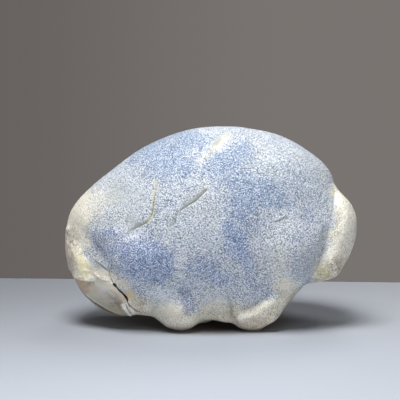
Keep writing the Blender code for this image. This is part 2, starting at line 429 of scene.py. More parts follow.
# %% Press the folds and ridges
press_crack("beside_the_tail", width=6.0, depth=-2.2, start=0.2, end=0.25)
press_crack("tail_crease", width=2.4, depth=0.9, start=0.1)
press_crack("tail_crease", width=0.8, depth=0.2, start=0.1, end=0.25)
press_crack("tail_crest", width=3.6, depth=-1.5)
press_crack("foot_crest", width=2.6, depth=-2.6, start=0.1, end=0.3)
press_crack("above_the_foot", width=2.6, depth=1.3, start=0.3, end=0.3)
press_crack("belly_crease", width=1.4, depth=1.5, start=0.4, end=0.02)
press_flake("belly_crease", rise=1.2, dip=0.5, rise_reach=2.2, start=0.5, end=0.02)
press_crack("nose_hollow", width=2.8, depth=0.9, start=0.3, end=0.2)
press_crack("crust", width=3.4, depth=-0.8, start=0.25)
print("the highest place is", round(skin[:, 2].max(), 1), "mm up")

# %% [markdown]
# Dimples and bumps follow, and sags. A sag moves the skin straight down instead of inward, which brings
# the belly and the chin closer to the table.

# %% Press the dimples and the sags
FRONT_DIMPLES = {  # across and down in the picture, radius, depth
    "nub_bump": (67.7, 229.6, 1.8, -1.1),
    "below_the_nub": (68.2, 236.5, 2.2, 0.7),
    "tail_foot": (333, 272, 5.5, -2.6),
    "crust": (75, 262, 8.0, -1.1),
    "jaw_top": (83, 288, 7.0, -0.5),
    "right_flank": (303, 280, 6.0, -1.8),
    "foot_end": (273, 317, 5.0, -1.6),
    "under_the_left_foot": (157, 321, 4.0, 0.7),
    "crust_low": (70.5, 268, 2.2, -0.5),
    "facet": (101, 292, 6.0, 0.7),
    "facet_low": (116, 303, 4.0, 0.4),
    "foot_notch": (235, 318, 2.2, 1.8),
    "foot_heel": (284, 306, 4.0, 0.5),
    "foot_ridge": (241, 313, 4.0, -1.7),
    "nose_rim": (70, 258, 7.0, -0.5),
    "crown": (240, 132, 14.0, 0.4),
    "top_right": (275, 141, 12.0, 0.5),
    "above_the_tail": (331, 180, 9.0, -0.5),
}
BACK_DIMPLES = {  # across and up on the back, radius, depth
    "head_hollow": (-22, 38, 13.0, 1.6),
    "rump_hollow": (20, 56, 15.0, 1.2),
    "belly_bump": (8, 22, 9.0, -1.2),
    "low_hollow": (44, 30, 8.0, 1.0),
    "shoulder_bump": (-38, 60, 9.0, -0.9),
    "rump_pit": (52, 52, 4.0, 0.8),
    "top_pit": (-10, 62, 2.2, 0.5),
    "middle_pit": (28, 44, 1.8, 0.5),
    "low_pit": (-30, 24, 2.4, 0.6),
}
FRONT_SAGS = {  # across and down in the picture, radius, how far the skin sags (below 0 it rises)
    "foot_notch": (234, 317, 2.4, -1.8),
    "belly": (214, 313, 7.0, 3.1),
    "belly_end": (226, 312, 5.5, 3.9),
    "chin": (143, 310, 6.0, 2.3),
    "jaw": (99, 306, 6.0, -0.8),
}
for across, down, radius, depth in FRONT_DIMPLES.values():
    press_dimple(*seen_at(surface, across, down), radius, depth)
for across, down, radius, drop in FRONT_SAGS.values():
    place, _ = seen_at(surface, across, down)
    press_dimple(place, (0, 0, 1), radius, drop)
for across, up, radius, depth in BACK_DIMPLES.values():
    press_dimple(*behind_at(surface, across, up), radius, depth)
print(len(FRONT_DIMPLES) + len(BACK_DIMPLES), "dimples and", len(FRONT_SAGS), "sags")

# %% [markdown]
# The sharp lines come last, so that nothing blurs them. A flake is pressed as a step, and then a hairline
# crack is sunk along its edge. The open crack at the mouth is the deepest and varies in width.

# %% Press the cracks and flakes
MOUTH_TAPER = [(0, 0.8), (0.1, 1.3), (0.25, 0.6), (0.4, 0.9), (0.6, 0.8), (0.8, 1.3), (0.92, 1.2), (1, 0.5)]

press_crack("white_lumps", width=0.9, depth=-0.5, start=0.1, end=0.1)
press_flake("facet_edge", rise=0.25, dip=0.25, rise_reach=2.2, dip_reach=3.0, start=0.3, end=0.3)
press_flake("crust_edge", rise=2.1, dip=0.7, rise_reach=4.5, dip_reach=4.0, start=0.3, end=0.35)
press_crack("jaw_edge", width=1.3, depth=-0.45, start=0.1, end=0.5)
press_flake("upper_crack", rise=0.35, dip=0.35, rise_reach=2.0, start=0.3, end=0)
press_crack("upper_crack", width=0.7, depth=0.35, start=0.2, end=0.1)
press_crack("upper_crack", width=0.3, depth=0.7, start=0.5, end=0.35)
press_flake("flake_edge", rise=0.65, dip=0.85, rise_reach=2.4, dip_reach=2.8, start=0, end=0.3)
press_crack("flake_edge", width=0.3, depth=0.3, start=0.02)
press_flake("middle_flake", rise=0.55, dip=1.0, rise_reach=2.6, dip_reach=2.4, start=0.15)
press_crack("middle_flake", width=0.28, depth=0.35, start=0.3)
press_flake("middle_flake_end", rise=0.45, dip=0.65, dip_reach=1.8)
press_crack("middle_flake_end", width=0.28, depth=0.2)
press_flake("top_vein", rise=0.5, dip=0.5, rise_reach=2.2, dip_reach=2.6, start=0.1, end=0.5)
press_crack("top_vein", width=0.32, depth=0.4, start=0.1, end=0.7)
press_flake("haunch_flake", rise=0.35, dip=0.3)
press_crack("haunch_flake", width=0.28, depth=0.25)
press_flake("nose_fold", rise=0.35, dip=0.3, start=0.3)
press_crack("nose_fold", width=0.35, depth=0.6, start=0.5, end=0.02)
press_crack("branch", width=0.28, depth=0.5, start=0.2, end=0.02)
press_crack("mouth", width=1.3, depth=0.5, start=0.1, end=0.1)
press_crack("mouth", width=0.32, depth=2.8, start=0.04, end=0.06, taper=MOUTH_TAPER)
press_crack("mouth_hairline", width=0.25, depth=0.6, start=0.02, end=0.4)
press_crack("outer_chip", width=1.2, depth=-1.2, start=0.2, end=0.2)
press_crack("inner_chip", width=0.5, depth=-0.5, start=0.2, end=0.2)
press_crack("chip_gap", width=0.3, depth=0.9, start=0.1, end=0.2)

press_flake("back_vein", rise=0.5, dip=0.5, end=0.3)
press_crack("back_vein", width=0.4, depth=0.5, start=0.3, end=0.4)
press_flake("back_flake", rise=0.8, dip=0.8, rise_reach=3.0, dip_reach=3.0)
press_crack("back_flake", width=0.3, depth=0.4, start=0.3)
press_crack("back_crack", width=0.35, depth=1.2, start=0.2, end=0.3)
press_crack("back_branch", width=0.3, depth=0.7, start=0.02, end=0.5)
press_flake("back_step", rise=0.5, dip=0.5, rise_reach=3.0, start=0.3, end=0.4)
print("the lowest place is", round(skin[:, 2].min(), 2), "mm above the table")

# %% [markdown]
# ## Low waves
#
# Tumbling wears a stone unevenly. Waves of two lengths, a fraction of a millimetre high, keep the light
# from sliding over the skin as it would over blown glass. The opal rind at the nose, the tail and the
# right foot is softer than the quartz. It came out of the tumbling crumbly, so it gets a rougher wave.

# %% Raise the low waves
WAVES = [(14.0, 0.35), (5.0, 0.10)]  # length and height
RIND_CRUMB = 1.7
RIND_ROUGHNESS = 0.22
FLAT_BELOW = 0.25  # skin that is lower than this is flat on the table


def facings_now():
    """The way the skin faces at each of its places."""
    stone.data.vertices.foreach_set("co", (skin * MM).ravel())
    stone.data.update()
    facings = np.empty(len(skin) * 3)
    stone.data.vertices.foreach_get("normal", facings)
    return facings.reshape(-1, 3)


def clouds(length, shift=0.0, places=None):
    """A soft random value from about -1 to 1 at each of the skin's places, or at the given ones."""
    places = skin if places is None else places
    moved = Vector((shift, shift, shift))
    return np.array([noise.noise(Vector(place) / length + moved) for place in places])


for length, height in WAVES:
    skin += facings_now() * (height * clouds(length))[:, None]

for name in RIND_LINES:
    line = lines[name]
    near, _, _, bit = beside(line, RIND_REACH)
    gap = np.linalg.norm(skin[near] - line.places[bit], axis=1)
    crumbling = clouds(RIND_CRUMB, shift=4.0, places=skin[near]) * limited(1.4 - 1.4 * gap / RIND_REACH)
    skin[near] += line.facings[bit] * (RIND_ROUGHNESS * crumbling)[:, None]

skin[:, 2] -= skin[:, 2].min()
skin[:, 2] = np.where(skin[:, 2] < FLAT_BELOW, 0, skin[:, 2])
facings = facings_now()
print("places on the table:", int((skin[:, 2] == 0).sum()))

# %% [markdown]
# ## Painting masks on the skin
#
# The stone's colours follow its growth: blue where the quartz is deep and clear, white where it is full
# of pores, cream where it turns to opal near the rind, and rust where water ran through a crack. Some
# masks also carry painted light: painted highlights go with the white, painted shade with the brown and
# the dirt, and a painted shadow fills the open crack. A mask is one number at each place of the skin, and
# the material reads it by name. To paint as the camera sees, one first works out where in the picture each
# place is. Two kinds of clouds make the edges wander.

# %% See the skin as the camera does
def in_the_picture():
    """Where in the picture each of the skin's places is."""
    offsets = skin * MM - np.array(camera.location)
    depth = offsets @ np.array(ahead)
    across = PICTURE / 2 + POINTS_PER_TANGENT * (offsets @ np.array(rightward)) / depth
    down = PICTURE / 2 - POINTS_PER_TANGENT * (offsets @ np.array(upward)) / depth
    return np.stack([across, down], axis=1)


seen = in_the_picture()
front = limited(-1.8 * (facings @ np.array(ahead)) + 0.8)  # fades to 0 where the skin turns away
far_side = 1 - front
wobble = clouds(5.0, shift=3.0) + 0.5 * clouds(2.2, shift=7.0)
fray = clouds(1.6, shift=8.0) + 0.5 * clouds(0.8, shift=2.0)
print(f"the camera sees {(front > 0.5).mean():.0%} of the skin")

# %% [markdown]
# There are three brushes: a soft oval dab and an outlined patch, both placed in the picture, and a stroke
# along a line.

# %% Brushes that paint the masks
DEEPEST_CRACK = 4.0  # millimetres
DAB_FALL = 1.3  # above 1, a dab is stronger in its middle
NARROWEST = 0.05  # millimetres


def dab(place, radii, turn):
    """1 at the middle of an oval in the picture and 0 outside it. Turn is in degrees, clockwise."""
    tilt = math.radians(turn)
    across, down = seen[:, 0] - place[0], seen[:, 1] - place[1]
    long_way = (across * math.cos(tilt) + down * math.sin(tilt)) / radii[0]
    short_way = (down * math.cos(tilt) - across * math.sin(tilt)) / radii[1]
    gap = np.hypot(long_way, short_way) * (1 + 0.25 * wobble)
    return limited(1 - gap**2) ** DAB_FALL * front


def dabs(table):
    """The sum of a table's dabs, each with its place, radii, turn and amount."""
    return sum(amount * dab(place, radii, turn) for place, radii, turn, amount in table.values())


def patch(outline, softness):
    """1 inside an outline drawn in the picture and 0 outside it, with an edge of that many points."""
    corners = np.array(outline, float)
    inside = np.zeros(len(skin), bool)
    nearest = np.full(len(skin), np.inf)
    for start, end in zip(corners, np.roll(corners, -1, axis=0)):
        side = end - start
        offset = seen - start
        share = limited(offset @ side / (side @ side))
        nearest = np.minimum(nearest, np.linalg.norm(offset - share[:, None] * side, axis=1))
        if side[1]:
            crosses = (start[1] > seen[:, 1]) != (end[1] > seen[:, 1])
            inside ^= crosses & (offset[:, 0] < side[0] * offset[:, 1] / side[1])
    depth = np.where(inside, nearest, -nearest) / softness + 0.5 * wobble
    return limited(depth + 0.5) * front


def stroke(name, width, side=0, ragged=0.0, taper=()):
    """1 on a line and 0 from width millimetres away on. Side 1 keeps its right-hand half, -1 its left."""
    line = lines[name]
    found = np.zeros(len(skin))
    near, right, share, bit = beside(line, width * (1 + ragged) + DEEPEST_CRACK)
    offset = skin[near] - line.places[bit]
    sunk = (offset * line.facings[bit]).sum(1)
    gap = np.sqrt(np.maximum((offset**2).sum(1) - sunk**2, 0))
    wide = width * tapered(share, taper) * (1 + ragged * fray[near])
    found[near] = limited(1 - (gap / np.maximum(wide, NARROWEST)) ** 2)
    if side:
        found[near] *= right * side > 0
    return found


# %% [markdown]
# Blue is the stone's own colour. It is deepest in the cheek and under the vein, and it pales towards the
# rind, underneath and at both ends. A dab gives its middle, its two radii, its turn and its amount. An
# amount below zero takes blue away.

# %% Paint the blue
BLUE_DABS = {
    "cheek": ((149, 262), (34, 25), 8, 1.15),
    "eye": ((107, 242), (23, 16), 8, 0.95),
    "above_the_eye": ((95, 223), (18, 8), -20, -0.45),
    "left_of_the_eye": ((87, 240), (9, 16), -8, -0.65),
    "above_the_cheek": ((151, 238), (20, 10), 0, 0.12),
    "below_the_vein": ((223, 162), (21, 14), 0, 1.55),
    "wide_below_the_vein": ((228, 176), (28, 16), 0, 0.30),
    "beside_the_vein": ((184, 166), (12, 18), 0, 0.40),
    "back_left": ((160, 150), (46, 20), -28, 0.62),
    "high_on_the_back": ((176, 151), (16, 12), 0, 0.25),
    "beside_the_crown": ((196, 138), (24, 9), 0, 0.40),
    "left_of_the_vein": ((188, 168), (13, 15), 0, 0.26),
    "top_left": ((170, 143), (18, 9), -20, -0.2),
    "behind_the_crack": ((164, 170), (22, 16), -20, 0.42),
    "top": ((196, 150), (20, 11), 0, 0.25),
    "upper_right": ((254, 189), (36, 27), 0, 0.55),
    "far_upper_right": ((277, 200), (22, 16), 0, 0.42),
    "middle_right": ((239, 215), (21, 27), 0, 0.50),
    "between_eye_and_cheek": ((126, 254), (14, 14), 0, 0.4),
    "streak": ((238, 247), (14, 33), -30, 0.62),
    "belly_left": ((204, 266), (24, 15), 0, 0.42),
    "belly": ((220, 279), (19, 11), 0, 0.48),
    "by_the_right_foot": ((252, 290), (15, 11), -20, 0.12),
    "left_foot_stripe": ((188, 302), (9, 18), -24, 1.1),
    "tail_side": ((304, 190), (28, 26), 0, 0.08),
    "jaw_right": ((116, 300), (13, 11), 45, 1.3),
    "crown": ((200, 136), (52, 12), 0, 0.05),
    "right_of_the_vein": ((243, 152), (20, 12), 0, 0.60),
    "pale_upper_right": ((262, 174), (14, 10), 0, -0.22),
    "head": ((92, 200), (36, 28), -35, -0.60),
    "above_the_facet": ((104, 276), (16, 9), 30, -0.5),
    "above_the_flake": ((130, 212), (28, 24), 0, -0.45),
    "between_the_flakes": ((202, 204), (18, 28), 0, -0.45),
    "between_cheek_and_streak": ((181, 258), (9, 22), 10, -0.35),
    "vein": ((221, 141), (18, 7), -48, -0.32),
    "vein_below": ((201, 164), (6, 18), 16, -0.16),
    "vein_tail": ((200, 169), (9, 14), 20, 0.35),
    "top_right": ((276, 156), (20, 11), 15, -0.05),
    "under_the_haunch_flake": ((274, 228), (20, 9), -35, -0.32),
    "haunch": ((298, 246), (18, 32), 0, 0.05),
    "flank": ((313, 250), (10, 26), 12, -0.30),
    "below_the_haunch": ((274, 260), (20, 26), 0, -0.60),
    "beside_the_haunch_flake": ((306, 217), (18, 12), 0, 0.26),
    "chin": ((108, 302), (50, 28), 30, -0.80),
    "nose": ((82, 262), (22, 28), 25, -0.75),
    "left_foot": ((160, 308), (24, 22), 0, -0.60),
    "belly_bottom": ((219, 301), (28, 15), 0, -0.75),
    "right_foot": ((262, 314), (34, 17), -28, -0.80),
    "tail": ((342, 236), (20, 58), 8, -0.80),
}
UNDERSIDE = 17  # how far up the pale underside reaches, in millimetres
NOSE_END = -56  # where the nose end and the tail end start, in millimetres to the right
TAIL_END = 57

back_blue = far_side * (0.9 * clouds(26.0, shift=5.0) + 0.6 * clouds(11.0, shift=6.0) + 0.2)
blue = 0.32 + 0.10 * clouds(20.0, shift=1.0) + dabs(BLUE_DABS) + back_blue
stray = wobble * (3.5 + 11 * far_side)
underneath = limited((UNDERSIDE - 4 * far_side - skin[:, 2] + stray) / 9)
nose_end = limited((NOSE_END - skin[:, 0] + stray) / 7)
tail_end = limited((skin[:, 0] - TAIL_END + stray) / 5)
ends = np.maximum(np.maximum(underneath, nose_end), tail_end)
masks = {"blue": limited(blue - 0.8 * ends)}


def tell(*names):
    """Prints how strong masks are, on average and at most."""
    print({name: (round(masks[name].mean(), 2), round(masks[name].max(), 2)) for name in names})


tell("blue")

# %% [markdown]
# The rind is cream opal. It covers the nose, the tail's ridge and the right foot, and clouds of it lie on
# the back, where it was never rubbed off.

# %% Paint the cream rind
CREAM_DABS = {
    "nose": ((73, 243), (9, 34), -6, 0.85),
    "head": ((86, 208), (38, 24), -46, 0.5),
    "right_foot": ((260, 313), (33, 11), -27, 1.1),
    "foot_ridge": ((244, 316), (13, 6), -10, 0.8),
    "left_foot": ((168, 314), (28, 16), 0, 0.35),
    "belly": ((219, 307), (26, 14), 0, 0.35),
    "right_flank": ((287, 290), (18, 20), -40, 0.75),
    "left_cheek": ((122, 205), (34, 30), -30, 0.15),
    "tail_flank": ((326, 250), (9, 34), 22, 0.05),
    "vein": ((221, 142), (16, 6), -44, 0.6),
    "chin": ((134, 303), (20, 14), 20, 0.5),
    "above_the_facet": ((108, 277), (22, 9), 38, 0.8),
    "lumps": ((98, 277), (13, 6), 25, 0.8),
    "haunch": ((279, 264), (20, 24), 0, 0.34),
    "beside_the_mouth": ((125, 284), (12, 7), 42, 0.6),
    "left_of_the_eye": ((88, 241), (8, 14), -8, 0.45),
    "vein_below": ((203, 158), (5, 14), 40, 0.35),
    "flake_end": ((205, 187), (8, 5), -40, 0.35),
}
TAIL_PATCH = [
    (334, 188), (333, 198), (333, 210), (333, 225), (331, 240), (326, 253), (318, 266), (314, 286),
    (335, 286), (352, 264), (362, 235), (362, 205), (350, 188), (340, 182),
]
CRUST_PATCH = [
    (64, 230), (71, 231), (75, 244), (81, 255), (89, 262), (97, 272), (92, 281.5), (81, 278.5),
    (73.5, 272), (62, 262), (60, 244),
]
BLUE_STRIPE = ((188, 302), (9, 17), -24)  # a stripe on the left foot that the rind leaves free
VEIN_TAPER = [(0, 0.3), (0.2, 1.0), (0.45, 0.5), (0.7, 1.1), (1, 0.2)]


def lay_over(name, amount):
    """Lays an amount over a mask. The stronger of the two shows."""
    masks[name] = np.maximum(masks[name], amount)


tail = limited(0.9 * patch(TAIL_PATCH, softness=14.0) + 0.5 * patch(TAIL_PATCH, softness=9.0) * wobble)
crust = 1.3 * patch(CRUST_PATCH, softness=5.0)
back_rind = limited(3.0 * clouds(24.0, shift=9.0) + 1.2 * wobble + 0.4 * fray - 0.9) * far_side
bare_stripe = 1.2 * dab(*BLUE_STRIPE)
masks["cream"] = limited(dabs(CREAM_DABS) + tail + crust + back_rind + 0.75 * ends - bare_stripe)
lay_over("cream", 1.2 * stroke("back_vein", 3.5, side=-1, ragged=1.0, taper=VEIN_TAPER))
tell("cream")

# %% [markdown]
# Quartz without pores is clear and looks grey, and quartz full of pores is white. The white mask also
# carries painted highlights: on the right foot's ridge, at the crust's low edge, on the tail's stripe and
# on its right side, on the nub, and on a flake's lip. The clear dab on the foot's ridge keeps the grain out
# of that highlight.

# %% Paint the clear and the white quartz
CLEAR_DABS = {
    "head": ((106, 196), (32, 20), -38, 0.32),
    "above_the_flake": ((131, 222), (16, 10), -25, 0.45),
    "left_cheek": ((130, 196), (30, 34), 0, 0.45),
    "jaw": ((103, 290), (11, 8), 40, 0.5),
    "above_the_vein": ((217, 142), (13, 6), -45, 0.9),
    "by_the_fold": ((100, 268), (14, 8), 35, 0.8),
    "left_foot": ((167, 308), (28, 20), 0, 0.75),
    "belly": ((219, 304), (24, 15), 0, 0.6),
    "beside_the_mouth": ((126, 284), (14, 18), -40, 0.45),
    "tail_flank": ((331, 234), (7, 36), 12, 0.45),
    "above_the_tail": ((326, 196), (12, 16), 0, 0.25),
    "haunch": ((300, 268), (22, 26), 30, 0.35),
    "tail_top": ((342, 206), (12, 18), 0, 0.5),
    "right_flank": ((288, 292), (16, 18), -40, 0.3),
    "foot_ridge": ((244, 316), (12, 5), -10, 0.55),
}
# Besides white quartz, the dabs foot_ridge, crust_low, tail_low, tail_back and flake_lip paint highlights,
# and nub is partly a painted highlight.
WHITE_AND_HIGHLIGHT_DABS = {
    "head": ((90, 202), (30, 14), -42, 0.3),
    "left_foot": ((161, 293), (18, 9), 5, 0.9),
    "by_the_cheek": ((180, 262), (8, 22), 12, 0.65),
    "belly": ((216, 300), (22, 13), 0, 0.35),
    "vein_below": ((200, 160), (5, 14), 30, 0.1),
    "flake_lip": ((132, 236), (12, 5), -22, 0.5),
    "nub": ((67.5, 229.5), (3, 4), 0, 0.9),
    "lumps": ((99, 275), (10, 5), 30, 0.8),
    "foot_ridge": ((245, 315), (13, 5), -12, 1.2),
    "jaw": ((104, 291), (10, 7), 40, 0.5),
    "tail_low": ((329, 258), (5, 14), 25, 1.0),
    "top_right": ((276, 156), (22, 12), 15, 0.05),
    "tail_top": ((340, 201), (8, 8), 0, 0.10),
    "tail": ((341, 228), (9, 34), 8, 0.10),
    "tail_back": ((351, 222), (9, 34), 4, 1.8),
    "tail_flank": ((327, 236), (5, 12), 10, 0.4),
    "crust_low": ((86, 270), (11, 14), -30, 1.5),
    "above_the_facet": ((113, 279), (12, 6), 40, 0.35),
    "mid": ((197, 232), (18, 22), 0, 0.15),
}


def back_clouds(length, shift, spared):
    """Clouds on the far side, 1 in their middles. The more is spared, the fewer there are."""
    return limited(2.5 * clouds(length, shift) + wobble - spared) * far_side


masks["clear"] = limited(dabs(CLEAR_DABS) + 0.6 * back_clouds(17.0, shift=12.0, spared=0.6))
masks["white_and_highlight"] = limited(dabs(WHITE_AND_HIGHLIGHT_DABS) + 0.6 * back_clouds(15.0, shift=15.0, spared=0.7))
tell("clear", "white_and_highlight")

# %% [markdown]
# The jaw broke off along a flat facet, where the quartz is clear and brown like bottle glass. A band of
# brown and painted shade runs below the facet's lower edge and below the crust's, where the rim turns down,
# and a thin pale glint, a painted highlight, runs along the lower edge. Brown also gathers under the feet
# and at the tail end. The brown mask also paints shade: under the chin, under the belly, at the right
# foot's end, at the tail end, at the nose's rim and in the crease where the foot leaves the belly.

# %% Paint the clear brown quartz, and the brown and painted shade
FACET_PATCH = [
    (71, 274), (81, 280.5), (91, 283), (98, 278), (104, 281), (113, 283.5), (118, 289), (124, 296),
    (127, 302), (131, 312), (125, 320), (110, 320), (92, 310), (76, 292), (66, 276),
]
GLASS_DABS = {
    "nose_rim": ((69, 260), (5, 20), -10, 0.5),
    "behind_the_tail": ((354, 238), (7, 46), 8, 0.15),
    "under_the_foot": ((258, 326), (26, 8), -14, 0.2),
    "tail_end": ((342, 262), (14, 16), -30, 0.5),
    "under_the_left_foot": ((174, 326), (18, 6), 0, 0.5),
}
# Besides brown stains, under_the_chin, under_the_belly, foot_end, tail_end, nose_rim and belly_crease paint
# shade.
BROWN_AND_SHADE_DABS = {
    "jaw_top": ((81, 286), (14, 7), 45, 0.95),
    "right_of_the_mouth": ((140, 301), (11, 10), 0, 0.95),
    "jaw_end": ((119, 306), (11, 7), 20, 0.7),
    "stripe": ((188, 302), (10, 18), -24, 0.30),
    "jaw_right": ((112, 296), (13, 12), 40, 0.35),
    "nose_rim": ((72, 246), (10, 25), -8, 0.65),
    "below_the_eye": ((95, 258), (11, 6), 40, 0.5),
    "eye": ((108, 243), (20, 13), 0, 0.36),
    "under_the_belly": ((219, 312), (22, 10), 0, 0.22),
    "under_the_chin": ((143, 313), (15, 6), 10, 0.65),
    "foot_end": ((274, 312), (11, 9), -40, 0.42),
    "under_the_foot": ((258, 323), (24, 8), -20, 0.6),
    "under_the_left_foot": ((176, 327), (16, 5), 0, 0.25),
    "belly_crease": ((235, 308), (4, 9), 20, 0.25),
    "tail_end": ((336, 268), (16, 13), -40, 0.85),
    "tail_middle": ((338, 226), (6, 22), 8, 0.42),
    "tail_foot": ((321, 275), (10, 8), 0, 1.0),
    "right_flank": ((288, 304), (12, 12), -40, 0.25),
}
SOLE = 5  # how far up the feet's clear soles reach, in millimetres

soles = 0.4 * limited((SOLE - skin[:, 2] + 2 * wobble) / 4)
masks["glass"] = limited(dabs(GLASS_DABS) + patch(FACET_PATCH, softness=4.0) + soles)
# painted shade: a dark band below the jaw's and the crust's lower edges, where the rim turns down
brown_and_shade_below_the_edges = stroke("jaw_edge", 5.5, side=1, ragged=0.3)
brown_and_shade_below_the_edges += 0.5 * stroke("crust_edge", 2.5, side=1, ragged=0.3)
masks["brown_and_shade"] = limited(dabs(BROWN_AND_SHADE_DABS) + 1.3 * brown_and_shade_below_the_edges * front)
jaw_glint = limited(1.4 * stroke("jaw_edge", 0.9, side=-1, ragged=0.7))
lay_over("white_and_highlight", 0.6 * jaw_glint)
lay_over("cream", jaw_glint)
tell("glass", "brown_and_shade")

# %% [markdown]
# Iron in the water left two stains: peach at the jaw and under the feet, and a yellow rust that follows
# the nose's rind and soaked out of the cracks.

# %% Paint the stains
PEACH_DABS = {
    "jaw": ((83, 286), (13, 7), 45, 1.05),
    "jaw_middle": ((99, 290), (12, 6), 40, 0.35),
    "left_of_the_mouth": ((123, 296.8), (4.5, 4.5), 20, 1.4),
    "above_the_mouth_end": ((128.6, 294.6), (6, 5.5), 0, 1.4),
    "chin": ((134, 304), (10, 4), 0, 0.4),
    "nose_rim": ((70, 262), (7, 20), -12, 0.35),
    "crust_corner": ((96, 274), (7, 6), 30, 0.25),
    "left_foot": ((172, 315), (22, 14), 0, 0.24),
    "right_foot": ((256, 322), (26, 9), -14, 0.35),
    "above_the_facet": ((110, 278), (22, 8), 38, 0.15),
}
RUST_DABS = {
    "mouth_right": ((131, 296), (8, 8), 0, 0.7),
    "mouth_left": ((122.5, 296.5), (3, 3.5), 0, 0.2),
    "tail_foot": ((323, 272), (11, 11), 0, 0.6),
    "jaw_top": ((84, 285), (8, 5), 40, 0.5),
    "nose": ((83, 267), (9, 18), -27, 0.9),
}
CRACK_TAPER = [(0, 0.5), (0.3, 0.7), (0.6, 1.0), (1, 0.8)]

masks["peach"] = limited(dabs(PEACH_DABS))
masks["rust"] = limited(
    dabs(RUST_DABS)
    + 0.75 * stroke("upper_crack", 1.3, ragged=1.0, taper=CRACK_TAPER)
    + 0.28 * stroke("top_vein", 2.0, ragged=1.2)
    + 0.5 * stroke("back_vein", 1.0, ragged=1.2, taper=VEIN_TAPER)
    + 0.4 * stroke("back_crack", 2.5, ragged=1.0)
)
tell("peach", "rust")

# %% [markdown]
# Along a flake's edge the low side is smooth and clear, and the high side has a white lip, a painted
# highlight where the step faces the light. The two chips at the end of the open crack are fresh breaks, so
# they are pale, smooth and without a stain.

# %% Paint the flakes' edges and the chips
FLAKE_EDGES = {
    "flake_edge": 0.9,
    "middle_flake": 1.0,
    "middle_flake_end": 0.6,
    "haunch_flake": 0.35,
    "top_vein": 0.45,
    "back_flake": 0.9,
    "back_vein": 0.6,
    "back_step": 0.4,
}
FLAKE_TAPER = [(0, 0.7), (0.3, 1.1), (0.7, 0.9), (1, 0.3)]

# painted highlight: the white stroke is a lip of light on each flake's high side
for name, amount in FLAKE_EDGES.items():
    lay_over("clear", 1.2 * amount * stroke(name, 2.6, side=1, ragged=0.6, taper=FLAKE_TAPER))
    lay_over("white_and_highlight", 0.8 * amount * stroke(name, 1.3, side=-1, ragged=0.8, taper=FLAKE_TAPER))
for name in ("outer_chip", "inner_chip"):
    chip = limited(1.8 * stroke(name, 1.3))
    lay_over("cream", chip)
    lay_over("white_and_highlight", 0.85 * chip)
    lay_over("clear", chip)
    for hidden in ("glass", "brown_and_shade", "peach"):
        masks[hidden] *= 1 - chip
tell("clear", "white_and_highlight")

# %% [markdown]
# Dirt sits in the cracks. The same mask paints shade: fainter, in the angle under each flake, and in the
# creases beside the tail and the belly. The open crack at the mouth is too deep for any light, and a mask
# of its own paints the shadow inside it black. Then the mesh gets all the masks, under their names.

# %% Paint the dirt and the painted shade, and keep the masks
# Most strokes are dirt in cracks; belly_crease and tail_crease are painted shade in the creases.
DIRT_AND_SHADE_STROKES = {
    "flake_edge": (0.30, 0.7),
    "middle_flake": (0.32, 0.8),
    "middle_flake_end": (0.30, 0.5),
    "haunch_flake": (0.30, 0.3),
    "nose_fold": (0.30, 0.85),
    "branch": (0.26, 0.7),
    "belly_crease": (1.2, 0.35),
    "top_vein": (0.28, 0.6),
    "mouth_hairline": (0.35, 0.9),
    "chip_gap": (0.35, 1.0),
    "back_vein": (0.30, 0.6),
    "back_flake": (0.30, 0.6),
    "back_crack": (0.40, 1.2),
    "back_branch": (0.30, 1.0),
    "tail_crease": (1.0, 0.3),
}
CORE_TAPER = [(0, 0.2), (0.3, 0.4), (0.5, 1.1), (0.8, 1.0), (0.9, 0.3), (1, 0.5)]

dirt_and_shade = sum(amount * stroke(name, width, ragged=0.8) for name, (width, amount) in DIRT_AND_SHADE_STROKES.items())
# painted shade: a faint dark band in the angle under each flake
for name, amount in FLAKE_EDGES.items():
    dirt_and_shade += 0.35 * amount * stroke(name, 2.4, side=1, ragged=0.8, taper=FLAKE_TAPER)
masks["dirt_and_shade"] = limited(dirt_and_shade + 1.1 * stroke("upper_crack", 0.36, ragged=0.8, taper=CORE_TAPER))
# painted shadow: the inside of the open crack at the mouth
masks["crack_shadow"] = limited(2.5 * stroke("mouth", 0.4, ragged=0.45, taper=MOUTH_TAPER))

for name, amounts in masks.items():
    attribute = stone.data.attributes.new(name, "FLOAT", "POINT")
    attribute.data.foreach_set("value", amounts.astype(np.float32))
tell(*masks)

# %% [markdown]
# ## The polished stone
#
# The material mixes its colours by the masks. Its grain is noise that nodes work out at each point, so it
# stays sharp from close by. Three helpers do the wiring: one starts a material, one feeds a socket, and one
# makes a node and feeds all its sockets.

# %% Helpers that wire a material
def start_material(name):
    """A new material. The helpers wire its nodes until the next one is started."""
    global nodes, links
    material = bpy.data.materials.new(name)
    material.use_nodes = True
    nodes = material.node_tree.nodes
    links = material.node_tree.links
    return material


def feed(socket, value):
    """Sets a socket to a number or a colour, or links a node's output to it."""
    if isinstance(value, (int, float, tuple)):
        socket.default_value = value
    else:
        links.new(value, socket)


def new_node(kind, inputs, **settings):
    """A node of that kind with its settings made and its inputs fed."""
    node = nodes.new("ShaderNode" + kind)
    for name, value in settings.items():
        setattr(node, name, value)
    for name, value in inputs.items():
        feed(node.inputs[name], value)
    return node


chalcedony = start_material("satin_chalcedony")
satin = nodes["Principled BSDF"]
print("the masks to mix by are", ", ".join(masks))

# %% [markdown]
# With them, each thing that the material does is one short function: find a place, make noise, stretch a
# value over a ramp, combine two values, blend two colours, and read a mask.

# %% Helpers that mix
def place_on_the_object():
    return new_node("TexCoord", {}).outputs["Object"]


def along_the_axes():
    """The x, y and z of a place on the object, in metres, by the names X, Y and Z."""
    return new_node("SeparateXYZ", {"Vector": place_on_the_object()}).outputs


